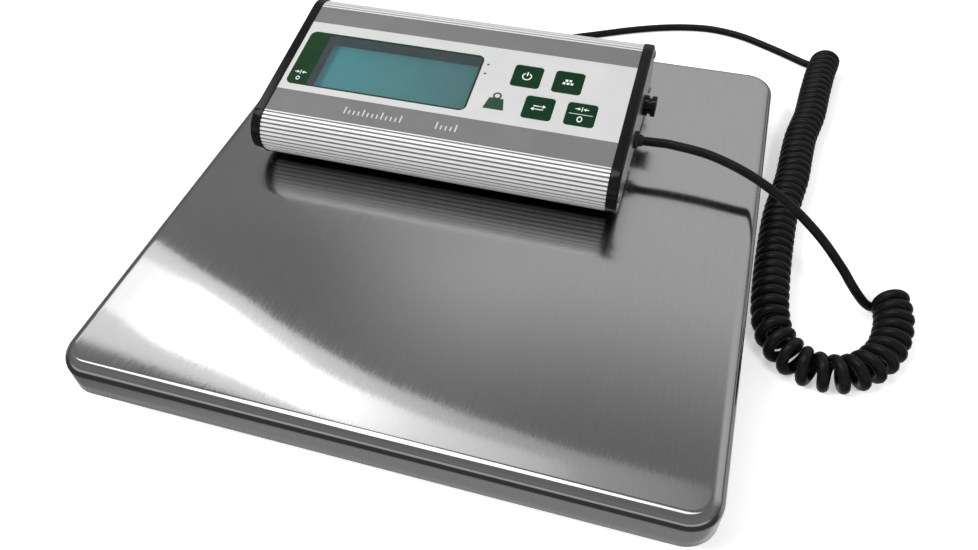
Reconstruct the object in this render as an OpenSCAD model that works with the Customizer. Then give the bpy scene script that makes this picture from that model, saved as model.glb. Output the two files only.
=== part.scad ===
// Bench scale with a separate indicator on a coiled cord.
// The origin is on the floor under the middle of the platform: +X to the right, +Y to the rear, +Z up.

/* [Platform] */
// Height of the weighing surface above the floor
total_h = 40; // [38:0.5:46]
// Width of the stainless cover, left to right
plat_w = 310; // [300:1:312]
// Depth of the stainless cover, front to rear
plat_d = 317; // [310:1:320]
// Height of the cover's skirt
skirt_h = 19.5; // [18:0.5:22]
// Thickness of the cover's sheet
sheet_t = 0.9; // [0.8:0.1:1.2]
// Corner radius of the cover in plan
corner_r = 16; // [14:1:24]
// Radius of the rolled top edge
rim_r = 6.5; // [4:0.5:7]

/* [Load frame and feet] */
// Thickness of the load frame's pressed sheet
frame_t = 1.5; // [1.2:0.1:2]
// Height of the pads between the frame and the cover
pad_t = 1.2; // [0.8:0.1:1.5]
// Distance of each load cell from the middle, left to right
cell_x = 112; // [108:1:114]
// Distance of each load cell from the middle, front to rear
cell_y = 115; // [111:1:117]
// Diameter of the rubber feet
foot_d = 42; // [36:1:46]

/* [Indicator case] */
// Length of the extruded case without its ends
case_len = 194.5; // [190:0.5:198]
// Middle of the case, left to right
case_x = -20.75; // [-22:0.25:-19]
// Front of the case, from the middle of the platform
case_front = -4; // [-8:0.5:0]
// Gap between the platform and the underside of the case
case_lift = 4; // [3.5:0.1:5]
// Slope of the panel
tilt = 10.1; // [9:0.1:11]
// Radius of the front lip
lip_r = 13.85; // [13.5:0.05:14]
// Length of the flat panel along its slope
panel_len = 85.6; // [85:0.1:87]
// Radius of the rear lip
rear_r = 14; // [13:0.5:15]
// Wall of the extrusion
wall = 2; // [1.8:0.1:2.4]
// Thickness of each end bezel
bezel_t = 5; // [4:0.5:6]
// Thickness of each end plate
end_t = 1; // [0.8:0.1:1.5]

/* [Panel and keys] */
// Thickness of the printed overlay
overlay_t = 0.5; // [0.4:0.1:0.6]
// Width of a stripe at the lower edge of the panel
low_stripe = 16.8; // [15:0.1:18]
// Width of a stripe at the upper edge of the panel
high_stripe = 13.6; // [12:0.1:15]
// Side of a square key
key_s = 16; // [15:0.1:16.2]
// How far a key stands above the overlay
key_proud = 0.3; // [0.2:0.1:0.4]
// How far a key can be pressed
key_travel = 0.4; // [0.3:0.05:0.45]
// Depth of the LCD below the panel
lcd_depth = 8; // [7:0.5:8.5]

/* [Cord] */
// Diameter of the straight tails
tail_d = 5; // [4:0.1:6]
// Outer diameter of the coil
coil_d = 20; // [18:0.5:20]

/* [Hidden] */
$fn = 48;
eps = 0.01;

// Heights in the platform
cover_under = total_h - sheet_t;
frame_top = cover_under - pad_t;
frame_under = frame_top - frame_t;
frame_w = plat_w - 14;
frame_d = plat_d - 14;
frame_r = corner_r - 3;
frame_bend = 3;
frame_low = 24;
pan_t = 1.2;
pan_low = 22.5;
pan_gap = 0.2;
pan_wall_h = 7;
pan_hole_d = 52;
pad_w = 14;
pad_len = 250;
pad_pitch = 55;

// Load cells, from the foot up
rubber_t = 5;
cup_top = 20;
stem_d = 12;
cell_low = 27;
cell_t = 3;
cell_s = 36.4;
holder_s = 60;
pocket_s = 37;
clamp_t = 2.5;
clamp_hole_d = 24;
cell_slot = 2;
cell_tongue = 18;
relief_s = 27;
relief_h = 3;
cell_screw_at = 14.8;
cell_screw_d = 2.9;
cell_screw_head_d = 5.5;
cell_screw_head_h = 1.6;
cell_screw_top = 34;
gauge = [10, 8, 1.2];

// Rails, junction box and leads under the frame
rail_at = 60;
rail_w = 40;
rail_h = 10;
rail_t = 1.2;
rail_len = 250;
box_y = 85;
box_size = [58, 40];
box_wall = 1.5;
box_low = 25.6;
lid_t = 1.6;
board_t = 1.6;
lead_d = 2.2;
lead_z = 24.9;

// Rear strain relief and the notch for it
exit_x = -45;
exit_z = 28.5;
notch_w = 13;
flange_y = frame_d / 2;
exit_y = 173;

// Case outline: centres of its round corners
case_low = total_h + case_lift;
rear_low_r = 8;
lip_c = [case_front + lip_r, case_low + lip_r];
panel_dir = [cos(tilt), sin(tilt)];
panel_nrm = [-sin(tilt), cos(tilt)];
panel_start = lip_c + lip_r * panel_nrm;
panel_end = panel_start + panel_len * panel_dir;
rear_c = panel_end - rear_r * panel_nrm;
case_back = rear_c[0] + rear_r;
rear_low_c = [case_back - rear_low_r, case_low + rear_low_r];
case_left = case_x - case_len / 2;
case_right = case_x + case_len / 2;
end_left = case_left - bezel_t - end_t;
end_right = case_right + bezel_t + end_t;
bezel_out = 0.6;
bezel_in = 2.6;
plate_in = 2.2;
plate_gap = 0.05;
groove_r = 0.55;
groove_step = 9.7;
front_grooves = 16;
rear_grooves = 7;
boss_r = 3.2;
boss_bore_r = 1.3;
boss_reach = 9.5;
boss_at = [
    lip_c - [boss_reach, 0],
    [34, case_low + wall + 2.9],
    [case_back - wall - 2.8, case_low + 10],
    rear_c + boss_reach * [cos(45), sin(45)]
];
end_screw_head_d = 5;
end_screw_head_h = 1.2;
end_screw_len = 12;

// Panel layout, measured along X and up the slope from the front edge of the flat panel
field_clear = 0.25;
border_x0 = -115.3;
border_x1 = -8.3;
border_y0 = 21.4;
border_y1 = 64.2;
border_r = 4;
open_x0 = -103;
open_x1 = -9.4;
open_y0 = 22.5;
open_y1 = 63.1;
pane_t = 0.4;
well_wall = 1.2;
lcd_edge = 2.6;
lcd_t = 1.8;
light_t = 2;
key_r = 2;
key_gap = 0.25;
flange_more = 0.9;
flange_t = 1;
key_hole_more = 1.3;
key_stem_d = 4;
key_upper_y = 53.4;
key_lower_y = 31.8;
key_power_at = [18.5, key_upper_y];
key_count_at = [41.8, key_upper_y];
key_mode_at = [30.2, key_lower_y];
key_zero_at = [53.5, key_lower_y];
key_places = [key_power_at, key_count_at, key_mode_at, key_zero_at];
pcb_top = lcd_depth + lcd_t + light_t;
pcb_x0 = -108;
pcb_x1 = 66;
pcb_y0 = 14;
pcb_y1 = 74;
post_at = [[-112 + 8, 18], [62, 18], [-112 + 8, 70], [62, 70]];
switch_s = 6;
switch_rest = 0.05;
// Top of a key switch's plunger, below the panel
plunger_top = flange_t + overlay_t + 3;

// Battery tray and sliding door under the case
cell_dia = 14;
cell_len = 49.5;
tray_x0 = -74;
tray_y0 = 38.5;
tray_wall = 1.5;
tray_w = 2 * cell_len + 7;
tray_d = 3 * cell_dia + 5;
tray_h = 16;
contact_t = 0.6;
door_t = 1.6;
door_gap = 0.3;
door_more = 4;
door_x0 = tray_x0 - door_more;
door_w = tray_w + 2 * door_more;
door_y0 = tray_y0 - 3;
door_d = tray_d + 6;
door_high = case_low - door_gap;
rail_side = 2.4;
door_lip_t = 0.8;
door_lip_in = 1.5;
case_foot_d = 12;
case_foot_at = [[-105, 20], [63, 20], [-105, 92], [63, 92]];

// Right end fittings: the cord gland and the supply jack
gland_yz = [49.5, 57.9];
gland_flange_d = 10;
gland_flange_t = 2.2;
gland_neck_d = 7.4;
gland_out = 4.6;
jack_yz = [79, 60];
jack_disc_d = 11.6;
jack_bore_d = 5.6;
jack_pin_d = 2;
jack_out = 7;
jack_ribs = 14;
cord_start_x = end_right + gland_out;

// Cord routes
tail_r = tail_d / 2;
coil_r = coil_d / 2;
floor_z = 2.55;
front_tail = [
    [cord_start_x + 0.3, gland_yz[0], gland_yz[1]],
    [103, 50, 58],
    [123, 48, 57],
    [143, 42.5, 54],
    [161, 35.4, 49],
    [175, 29.7, 42.3],
    [188.6, 22, 34.5],
    [201.3, 14.1, 24.5],
    [207.6, 10.1, 18.3],
    [213.7, 7.9, 12],
    [218.6, 8, 7.2],
    [222.5, 9.6, 5]
];
coil_route = [
    [193.1, 234.9], [189.1, 214.5], [185.9, 187.4], [183.4, 162.5], [179, 139.4], [177, 118.1],
    [175.6, 98.1], [172.7, 78.2], [170.3, 60], [169.1, 33.9], [168.7, 9.7], [169.4, -11.5],
    [172.1, -26], [178.8, -37], [187.9, -43.5], [199, -45.2], [210, -42.3], [219.3, -34.8],
    [226.3, -24.5], [230, -11.8], [231, 0], [229.2, 13]
];
rear_tail = [
    [exit_x, exit_y, exit_z],
    [exit_x, 177, 28.2],
    [-43.5, 183, 25],
    [-38, 191.5, 18.5],
    [-28, 202, 11],
    [-15, 212.5, 5],
    [0, 221.2, floor_z],
    [16.4, 229.7, floor_z],
    [34.5, 239, floor_z],
    [51.6, 247.7, floor_z],
    [69.7, 255.4, floor_z],
    [87.8, 261, floor_z],
    [105.5, 263.8, floor_z],
    [120.8, 262.7, floor_z],
    [135.4, 258.7, floor_z],
    [149.3, 252.1, floor_z],
    [164.1, 244.2, floor_z],
    [176.8, 236.8, 3.2],
    [183, 234.4, 4.2],
    [187, 234.6, 5.5]
];

// ---- shared shapes ----

module rounded_plan(w, d, r) {
    square([w - 2 * r, d], center = true);
    square([w, d - 2 * r], center = true);
    for (sx = [-1, 1], sy = [-1, 1])
        translate([sx * (w / 2 - r), sy * (d / 2 - r)]) circle(r);
}

// Section of a folded sheet: flat top, bent edge and upright wall, with the corner's axis at x = 0
module folded_section(plan_r, bend, t, low, top) {
    translate([0, top - t]) square([plan_r - bend, t]);
    translate([plan_r - bend, top - bend]) intersection() {
        difference() {
            circle(bend);
            circle(bend - t);
        }
        square(bend);
    }
    translate([plan_r - t, low]) square([t, top - bend - low]);
}

// A tray of folded sheet with round corners, open below
module folded_tray(w, d, plan_r, bend, t, low, top) {
    for (k = [0:3]) {
        across = (k % 2 == 0) ? w : d;
        along = (k % 2 == 0) ? d : w;
        rotate([0, 0, 90 * k]) {
            translate([across / 2 - plan_r, 0, 0]) rotate([90, 0, 0])
                linear_extrude(along - 2 * plan_r, center = true)
                    folded_section(plan_r, bend, t, low, top);
            translate([across / 2 - plan_r, along / 2 - plan_r, 0])
                rotate_extrude(angle = 90) folded_section(plan_r, bend, t, low, top);
        }
    }
    translate([0, 0, top - t])
        linear_extrude(t) square([w - 2 * plan_r, d - 2 * plan_r], center = true);
}

module at_cells() {
    for (sx = [-1, 1], sy = [-1, 1])
        translate([sx * cell_x, sy * cell_y, 0]) children();
}

module ring(outer, inner, low, high) {
    translate([0, 0, low]) difference() {
        cylinder(d = outer, h = high - low);
        translate([0, 0, -eps]) cylinder(d = inner, h = high - low + 2 * eps);
    }
}

module square_tube(outer, inner, low, high) {
    translate([0, 0, low]) linear_extrude(high - low) difference() {
        square(outer, center = true);
        square(inner, center = true);
    }
}

// Places children on the panel: x along the case, y up the slope, z out of the panel
module on_panel() {
    translate([0, panel_start[0], panel_start[1]]) rotate([tilt, 0, 0]) children();
}

// Extrudes a (y, z) outline along X
module along_x(from, to) {
    translate([from, 0, 0]) rotate([90, 0, 90]) linear_extrude(to - from) children();
}

module x_cylinder(yz, d, from, to) {
    translate([from, yz[0], yz[1]]) rotate([0, 90, 0]) cylinder(d = d, h = to - from);
}

// ---- sweeps for the cord ----

function unit(v) = v / norm(v);

// One point of a smooth curve through four neighbours
function curve_point(a, b, c, d, t) =
    0.5 * (2 * b + (c - a) * t + (2 * a - 5 * b + 4 * c - d) * t * t
        + (3 * b - a - 3 * c + d) * t * t * t);

function smooth(p, steps) = concat(
    [for (i = [0:len(p) - 2], k = [0:steps - 1])
        curve_point(p[max(i - 1, 0)], p[i], p[i + 1], p[min(i + 2, len(p) - 1)], k / steps)],
    [p[len(p) - 1]]
);

function heading(p, i) = unit(p[min(i + 1, len(p) - 1)] - p[max(i - 1, 0)]);

function ring_point(c, dir, r, angle) =
    let (side = unit(cross([0, 0, 1], dir)), up = cross(dir, side))
        c + r * (cos(angle) * side + sin(angle) * up);

module sweep(path, r, sides) {
    last = len(path) - 1;
    points = [for (i = [0:last], j = [0:sides - 1])
        ring_point(path[i], heading(path, i), r, 360 * j / sides)];
    skin = [for (i = [0:last - 1], j = [0:sides - 1])
        let (k = (j + 1) % sides)
            [i * sides + j, (i + 1) * sides + j, (i + 1) * sides + k, i * sides + k]];
    first_cap = [for (j = [0:sides - 1]) j];
    last_cap = [for (j = [sides - 1:-1:0]) last * sides + j];
    polyhedron(points, concat([first_cap, last_cap], skin), convexity = 6);
}

// ---- platform ----

module platform_cover() {
    color("silver") difference() {
        folded_tray(plat_w, plat_d, corner_r, rim_r, sheet_t, total_h - skirt_h, total_h);
        translate([exit_x, plat_d / 2, exit_z]) rotate([90, 0, 0])
            cylinder(d = notch_w, h = 3, center = true);
        translate([exit_x - notch_w / 2, plat_d / 2 - 1.5, 0]) cube([notch_w, 3, exit_z]);
    }
}

module cover_pads() {
    color("dimgray") for (k = [-2:2])
        translate([k * pad_pitch - pad_w / 2, -pad_len / 2, frame_top])
            cube([pad_w, pad_len, pad_t]);
}

module load_frame() {
    color("#26282a") difference() {
        folded_tray(frame_w, frame_d, frame_r, frame_bend, frame_t, frame_low, frame_top);
        translate([exit_x, flange_y, exit_z]) rotate([90, 0, 0])
            cylinder(d = 8, h = 8, center = true);
    }
}

module stiffener_rails() {
    low = frame_under - rail_h;
    color("#3a3d40") for (s = [-1, 1])
        translate([s * rail_at, 0, 0]) rotate([90, 0, 0])
            linear_extrude(rail_len, center = true) difference() {
                translate([-rail_w / 2, low]) square([rail_w, rail_h]);
                translate([-rail_w / 2 + rail_t, low + rail_t])
                    square([rail_w - 2 * rail_t, rail_h]);
            }
}

module cell_holders() {
    top = frame_under;
    low = pan_low + pan_t;
    color("#202224") at_cells() difference() {
        translate([0, 0, low]) linear_extrude(top - low) rounded_plan(holder_s, holder_s, 5);
        translate([0, 0, low - eps]) linear_extrude(cell_low + cell_t - low + eps)
            square(pocket_s, center = true);
        translate([0, 0, low]) linear_extrude(cell_low + cell_t + relief_h - low)
            square([relief_s, relief_s], center = true);
        for (sx = [-1, 1], sy = [-1, 1])
            translate([sx * cell_screw_at, sy * cell_screw_at, cell_low])
                cylinder(d = cell_screw_d + 0.1, h = cell_screw_top - cell_low + 0.2);
    }
}

module load_cells() {
    color("lightslategray") at_cells() translate([0, 0, cell_low])
        linear_extrude(cell_t) difference() {
            square(cell_s, center = true);
            difference() {
                square(cell_tongue + 2 * cell_slot, center = true);
                square([cell_tongue, cell_tongue + 3 * cell_slot], center = true);
            }
            translate([0, cell_tongue / 2 + cell_slot / 2])
                square([cell_tongue + 2 * cell_slot, cell_slot], center = true);
            for (sx = [-1, 1], sy = [-1, 1])
                translate([sx * cell_screw_at, sy * cell_screw_at])
                    circle(d = cell_screw_d + 0.3);
        }
}

module strain_gauges() {
    color("white") at_cells()
        translate([-gauge[0] / 2, -gauge[1] / 2, cell_low + cell_t]) cube(gauge);
}

module cell_clamps() {
    color("#303234") at_cells() translate([0, 0, cell_low - clamp_t])
        linear_extrude(clamp_t) difference() {
            square(cell_s, center = true);
            circle(d = clamp_hole_d);
            for (sx = [-1, 1], sy = [-1, 1])
                translate([sx * cell_screw_at, sy * cell_screw_at])
                    circle(d = cell_screw_d + 0.3);
        }
}

module cell_screws() {
    head_top = cell_low - clamp_t;
    color("gainsboro") at_cells() for (sx = [-1, 1], sy = [-1, 1])
        translate([sx * cell_screw_at, sy * cell_screw_at, 0]) {
            translate([0, 0, head_top - cell_screw_head_h])
                cylinder(d = cell_screw_head_d, h = cell_screw_head_h);
            translate([0, 0, head_top]) cylinder(d = cell_screw_d, h = cell_screw_top - head_top);
        }
}

module foot_cups() {
    color("#1c1d1e") at_cells() rotate_extrude() polygon([
        [0, rubber_t], [foot_d / 2 + 1, rubber_t], [foot_d / 2 + 1, rubber_t + 4],
        [foot_d / 2 - 5, rubber_t + 9], [stem_d / 2 + 2, rubber_t + 11], [stem_d / 2, cup_top],
        [stem_d / 2, cell_low], [0, cell_low]
    ]);
}

module foot_pads() {
    color("#111111") at_cells() rotate_extrude() polygon([
        [0, 0], [foot_d / 2 - 2, 0], [foot_d / 2, 2], [foot_d / 2, rubber_t], [0, rubber_t]
    ]);
}

module base_pan() {
    w = frame_w - 2 * frame_t - 2 * pan_gap;
    d = frame_d - 2 * frame_t - 2 * pan_gap;
    color("#2e3032") difference() {
        translate([0, 0, pan_low]) mirror([0, 0, 1])
            folded_tray(w, d, frame_r - frame_t - pan_gap, 2.5, pan_t, -pan_wall_h, 0);
        at_cells() translate([0, 0, pan_low - 1]) cylinder(d = pan_hole_d, h = pan_t + 2);
        translate([exit_x, d / 2, exit_z]) rotate([90, 0, 0])
            cylinder(d = notch_w, h = 8, center = true);
    }
}

// ---- junction box and leads ----

module at_box(low) {
    translate([0, box_y, low]) children();
}

module junction_box() {
    color("#1e1f21") at_box(box_low) difference() {
        linear_extrude(frame_under - box_low) rounded_plan(box_size[0], box_size[1], 3);
        translate([0, 0, -eps]) linear_extrude(frame_under - box_low - box_wall + eps)
            rounded_plan(box_size[0] - 2 * box_wall, box_size[1] - 2 * box_wall, 1.5);
    }
}

module junction_lid() {
    color("#2a2b2e") at_box(box_low - lid_t)
        linear_extrude(lid_t) rounded_plan(box_size[0], box_size[1], 3);
}

module junction_board() {
    inset = 2 * box_wall + 1;
    color("seagreen") at_box(frame_under - box_wall - 3 - board_t)
        linear_extrude(board_t) square([box_size[0] - inset, box_size[1] - inset], center = true);
}

module lead(points, d) {
    sweep(smooth(points, 2), d / 2, 6);
}

module cell_leads() {
    edge_x = cell_x - holder_s / 2 - 0.6;
    side_x = box_size[0] / 2 + 0.9;
    color("#181818") {
        for (s = [-1, 1]) {
            lead([
                [s * edge_x, cell_y - 18, lead_z], [s * 60, cell_y - 21, lead_z],
                [s * 40, box_y + 8, lead_z], [s * side_x, box_y + 6, lead_z + 2]
            ], lead_d);
            lead([
                [s * edge_x, -cell_y, lead_z], [s * 50, -cell_y + 8, lead_z],
                [s * 36, -80, lead_z], [s * 36, box_y - 22, lead_z],
                [s * side_x, box_y - 10, lead_z + 2]
            ], lead_d);
        }
        lead([
            [-10, box_y + box_size[1] / 2 + 0.9, lead_z + 4], [-12, 116, lead_z + 4],
            [-26, 131, lead_z + 4], [-42, 138, exit_z], [exit_x, flange_y - 4.9, exit_z]
        ], 4);
    }
}

module rear_relief() {
    seat = flange_y - 4;
    color("#151515") translate([exit_x, seat, exit_z]) rotate([-90, 0, 0]) rotate_extrude() polygon([
        [0, 0], [5.5, 0], [5.5, 2.3], [3.9, 2.3], [3.9, 4.1], [5.6, 4.1], [5.6, 8],
        [tail_r + 0.9, exit_y - seat], [0, exit_y - seat]
    ]);
}

// ---- indicator case ----

// Outline of the case in (y, z), moved inward by inset
module case_outline(inset) {
    translate(lip_c) circle(lip_r - inset);
    translate(rear_c) circle(rear_r - inset);
    translate(rear_low_c) circle(rear_low_r - inset);
    polygon([
        lip_c,
        [lip_c[0], case_low + inset],
        [rear_low_c[0], case_low + inset],
        rear_low_c,
        [case_back - inset, rear_low_c[1]],
        [case_back - inset, rear_c[1]],
        rear_c,
        rear_c + (rear_r - inset) * panel_nrm,
        lip_c + (lip_r - inset) * panel_nrm
    ]);
}

// Fine grooves that leave ribs on both lips
module lip_grooves() {
    for (k = [0:front_grooves - 1]) {
        a = tilt + 5 + groove_step * k;
        translate(lip_c + lip_r * [-sin(a), cos(a)]) circle(groove_r);
    }
    for (k = [0:rear_grooves - 1]) {
        a = tilt - 6 - groove_step * k;
        translate(rear_c + rear_r * [-sin(a), cos(a)]) circle(groove_r);
    }
}

module case_section() {
    difference() {
        case_outline(0);
        difference() {
            case_outline(wall);
            for (p = boss_at) translate(p) circle(boss_r);
        }
        for (p = boss_at) translate(p) circle(boss_bore_r);
        lip_grooves();
    }
}

module panel_block(x0, y0, x1, y1, low, high) {
    translate([x0, y0, low]) cube([x1 - x0, y1 - y0, high - low]);
}

module rounded_panel(x0, y0, x1, y1, r, low, high) {
    translate([(x0 + x1) / 2, (y0 + y1) / 2, low])
        linear_extrude(high - low) rounded_plan(x1 - x0, y1 - y0, r);
}

module key_square(at, side, r, low, high) {
    translate([at[0], at[1], low]) linear_extrude(high - low) rounded_plan(side, side, r);
}

module case_extrusion() {
    deep = overlay_t + wall + 1;
    color("gainsboro") difference() {
        along_x(case_left, case_right) case_section();
        on_panel() {
            panel_block(case_left - 1, 0, case_right + 1, panel_len, -overlay_t, 1);
            panel_block(
                open_x0 - well_wall - 0.1, open_y0 - well_wall - 0.1,
                open_x1 + well_wall + 0.1, open_y1 + well_wall + 0.1, -deep, 0
            );
            for (p = key_places) key_square(p, key_s + 2 * key_hole_more, key_r, -deep, 0);
        }
        translate([tray_x0 + 3, tray_y0 + 3, case_low - 1])
            cube([tray_w - 6, tray_d - 6, wall + 2]);
    }
}

module panel_overlay() {
    color("whitesmoke") on_panel() difference() {
        panel_block(
            case_left, low_stripe, case_right, panel_len - high_stripe, -overlay_t, 0
        );
        rounded_panel(
            border_x0, border_y0, border_x1, border_y1, border_r, -overlay_t - 1, 1
        );
        for (p = key_places) key_square(p, key_s + 2 * key_gap, key_r, -overlay_t - 1, 1);
    }
}

module panel_stripes() {
    color("darkgray") on_panel() {
        panel_block(case_left, field_clear, case_right, low_stripe, -overlay_t, 0);
        panel_block(
            case_left, panel_len - high_stripe, case_right, panel_len - field_clear, -overlay_t, 0
        );
    }
}

module display_border() {
    color("darkgreen") on_panel() difference() {
        rounded_panel(border_x0, border_y0, border_x1, border_y1, border_r, -overlay_t, 0);
        rounded_panel(open_x0, open_y0, open_x1, open_y1, 2, -overlay_t - 1, 1);
    }
}

module display_window() {
    color("lightcyan", 0.35) on_panel()
        rounded_panel(open_x0, open_y0, open_x1, open_y1, 2, -pane_t, 0);
}

module display_well() {
    color("#20262b") on_panel() difference() {
        panel_block(
            open_x0 - well_wall, open_y0 - well_wall, open_x1 + well_wall,
            open_y1 + well_wall, -lcd_depth, -overlay_t
        );
        panel_block(open_x0, open_y0, open_x1, open_y1, -lcd_depth - 1, 1);
    }
}

module lcd_module() {
    color("cadetblue") on_panel() panel_block(
        open_x0 - well_wall, open_y0 - well_wall, open_x1 + well_wall, open_y1 + well_wall,
        -lcd_depth - lcd_t, -lcd_depth
    );
}

module lcd_backlight() {
    color("white") on_panel() panel_block(
        open_x0, open_y0, open_x1, open_y1, -lcd_depth - lcd_t - light_t, -lcd_depth - lcd_t
    );
}

module main_board() {
    color("forestgreen") on_panel() difference() {
        panel_block(pcb_x0, pcb_y0, pcb_x1, pcb_y1, -pcb_top - board_t, -pcb_top);
        for (p = post_at) translate([p[0], p[1], -pcb_top - board_t - 1])
            cylinder(d = 2.6, h = board_t + 2);
    }
}

module board_posts() {
    color("gold") on_panel() for (p = post_at) translate([p[0], p[1], 0]) {
        translate([0, 0, -pcb_top]) cylinder(d = 5, h = pcb_top - wall);
        translate([0, 0, -pcb_top - board_t]) cylinder(d = 2.4, h = board_t);
        translate([0, 0, -pcb_top - board_t - 1.6]) cylinder(d = 4.6, h = 1.6);
    }
}

module key_switches() {
    color("black") on_panel() for (p = key_places) translate([p[0], p[1], 0]) {
        translate([-switch_s / 2, -switch_s / 2, -pcb_top]) cube([switch_s, switch_s, 4]);
        translate([0, 0, -pcb_top + 4]) cylinder(d = 3.4, h = pcb_top - 4 - plunger_top);
    }
}

module panel_key(at) {
    flange_top = overlay_t + 0.1;
    stem_end = plunger_top - key_travel - switch_rest;
    color("darkgreen") on_panel() {
        key_square(at, key_s, key_r, -flange_top, key_proud);
        key_square(
            at, key_s + 2 * flange_more, key_r, -flange_top - flange_t, -flange_top
        );
        translate([at[0], at[1], -stem_end])
            cylinder(d = key_stem_d, h = stem_end - flange_top - flange_t);
    }
}

module key_power() { panel_key(key_power_at); }
module key_count() { panel_key(key_count_at); }
module key_mode() { panel_key(key_mode_at); }
module key_zero() { panel_key(key_zero_at); }

// ---- ends of the case ----

module bezel(inner_x, outer_x) {
    pocket_x = outer_x > inner_x ? outer_x - end_t : outer_x - eps;
    color("#161616") difference() {
        along_x(min(inner_x, outer_x), max(inner_x, outer_x)) difference() {
            case_outline(-bezel_out);
            case_outline(bezel_in);
        }
        along_x(pocket_x, pocket_x + end_t + eps) case_outline(plate_in);
    }
}

module bezel_left() { bezel(case_left, end_left); }
module bezel_right() { bezel(case_right, end_right); }

module end_plate(from) {
    color("lightgray") difference() {
        along_x(from, from + end_t) difference() {
            case_outline(plate_in + plate_gap);
            for (p = boss_at) translate(p) circle(boss_bore_r + 0.3);
        }
        children();
    }
}

module end_plate_left() { end_plate(end_left); }

module end_plate_right() {
    end_plate(end_right - end_t) {
        x_cylinder(gland_yz, gland_neck_d, end_right - 2 * end_t, end_right + end_t);
        x_cylinder(jack_yz, 8, end_right - 2 * end_t, end_right + end_t);
    }
}

module end_screws() {
    color("gray") for (p = boss_at) {
        x_cylinder(p, end_screw_head_d, end_left - end_screw_head_h, end_left);
        x_cylinder(p, 2 * boss_bore_r - 0.1, end_left, end_left + end_screw_len);
        x_cylinder(p, end_screw_head_d, end_right, end_right + end_screw_head_h);
        x_cylinder(p, 2 * boss_bore_r - 0.1, end_right - end_screw_len, end_right);
    }
}

module jack_body() {
    inner = end_right - end_t;
    color("#121212") difference() {
        union() {
            x_cylinder(jack_yz, 7.9, inner - 0.1, end_right + jack_out);
            x_cylinder(jack_yz, 11, inner - 12, inner);
        }
        x_cylinder(jack_yz, jack_bore_d, end_right + jack_out - 10, end_right + jack_out + 1);
    }
    color("silver")
        x_cylinder(jack_yz, jack_pin_d, end_right + jack_out - 10.1, end_right + jack_out - 1);
}

module jack_nut() {
    gap = 1.6;
    disc = (jack_out - gap) / 2;
    color("#101010") difference() {
        union() {
            x_cylinder(jack_yz, jack_disc_d, end_right, end_right + disc);
            x_cylinder(jack_yz, jack_disc_d - 2.4, end_right, end_right + jack_out);
            x_cylinder(jack_yz, jack_disc_d, end_right + disc + gap, end_right + jack_out);
        }
        x_cylinder(jack_yz, 8, end_right - 1, end_right + jack_out + 1);
        for (k = [0:jack_ribs - 1]) {
            a = 360 * k / jack_ribs;
            x_cylinder(
                jack_yz + jack_disc_d / 2 * [cos(a), sin(a)], 1.2,
                end_right - 1, end_right + jack_out + 1
            );
        }
    }
}

module cord_gland() {
    inner = end_right - end_t;
    color("#101010") {
        x_cylinder(gland_yz, 9.4, inner - 2, inner);
        x_cylinder(gland_yz, gland_neck_d - 0.1, inner, end_right);
        x_cylinder(gland_yz, gland_flange_d, end_right, end_right + gland_flange_t);
        translate([end_right + gland_flange_t, gland_yz[0], gland_yz[1]]) rotate([0, 90, 0])
            cylinder(d1 = gland_neck_d, d2 = tail_d + 1.2, h = gland_out - gland_flange_t);
    }
}

// ---- battery tray, door and feet of the case ----

module battery_tray() {
    low = case_low + wall;
    color("#1a1b1c") translate([tray_x0, tray_y0, low]) difference() {
        cube([tray_w, tray_d, tray_h]);
        translate([tray_wall, tray_wall, -eps])
            cube([tray_w - 2 * tray_wall, tray_d - 2 * tray_wall, tray_h - tray_wall + eps]);
    }
}

module battery_cells() {
    rest = case_low + wall;
    color("goldenrod") for (col = [0, 1], row = [0:2]) {
        x0 = tray_x0 + tray_wall + 1 + contact_t + col * (cell_len + 0.8);
        y0 = tray_y0 + tray_wall + 0.3 + cell_dia / 2 + row * (cell_dia + 0.5);
        x_cylinder([y0, rest + cell_dia / 2], cell_dia, x0, x0 + cell_len);
    }
}

module battery_contacts() {
    low = case_low + wall + 2;
    color("silver") for (x0 = [tray_x0 + tray_wall, tray_x0 + tray_w - tray_wall - contact_t])
        for (row = [0:2])
            translate([x0, tray_y0 + tray_wall + 2.3 + row * (cell_dia + 0.5), low])
                cube([contact_t, cell_dia - 4, cell_dia - 4]);
}

module battery_door() {
    color("#1d1e20") translate([door_x0, door_y0, door_high - door_t]) difference() {
        cube([door_w, door_d, door_t]);
        for (k = [0:3]) translate([door_w / 2 - 9, 8 + 2.2 * k, -0.5])
            cube([18, 1, 1]);
    }
}

module door_rails() {
    low = door_high - door_t - door_gap - door_lip_t;
    color("gainsboro") for (s = [0, 1]) {
        side_x = s == 0 ? door_x0 - door_gap - rail_side : door_x0 + door_w + door_gap;
        lip_x = s == 0 ? side_x : side_x - door_lip_in - door_gap;
        translate([side_x, door_y0, low]) cube([rail_side, door_d, case_low - low]);
        translate([lip_x, door_y0, low])
            cube([rail_side + door_lip_in + door_gap, door_d, door_lip_t]);
    }
}

module case_feet() {
    color("#0f0f0f") for (p = case_foot_at)
        translate([p[0], p[1], total_h]) cylinder(d = case_foot_d, h = case_lift);
}

// ---- cord ----

module cord_tail_front() {
    color("#141414") sweep(smooth(front_tail, 2), tail_r, 8);
}

module cord_coil() {
    route = [for (p = coil_route) [p[0], p[1], coil_r]];
    color("#101010") sweep(route, coil_r, 12);
}

module cord_tail_rear() {
    color("#141414") sweep(smooth(rear_tail, 2), tail_r, 8);
}

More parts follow.
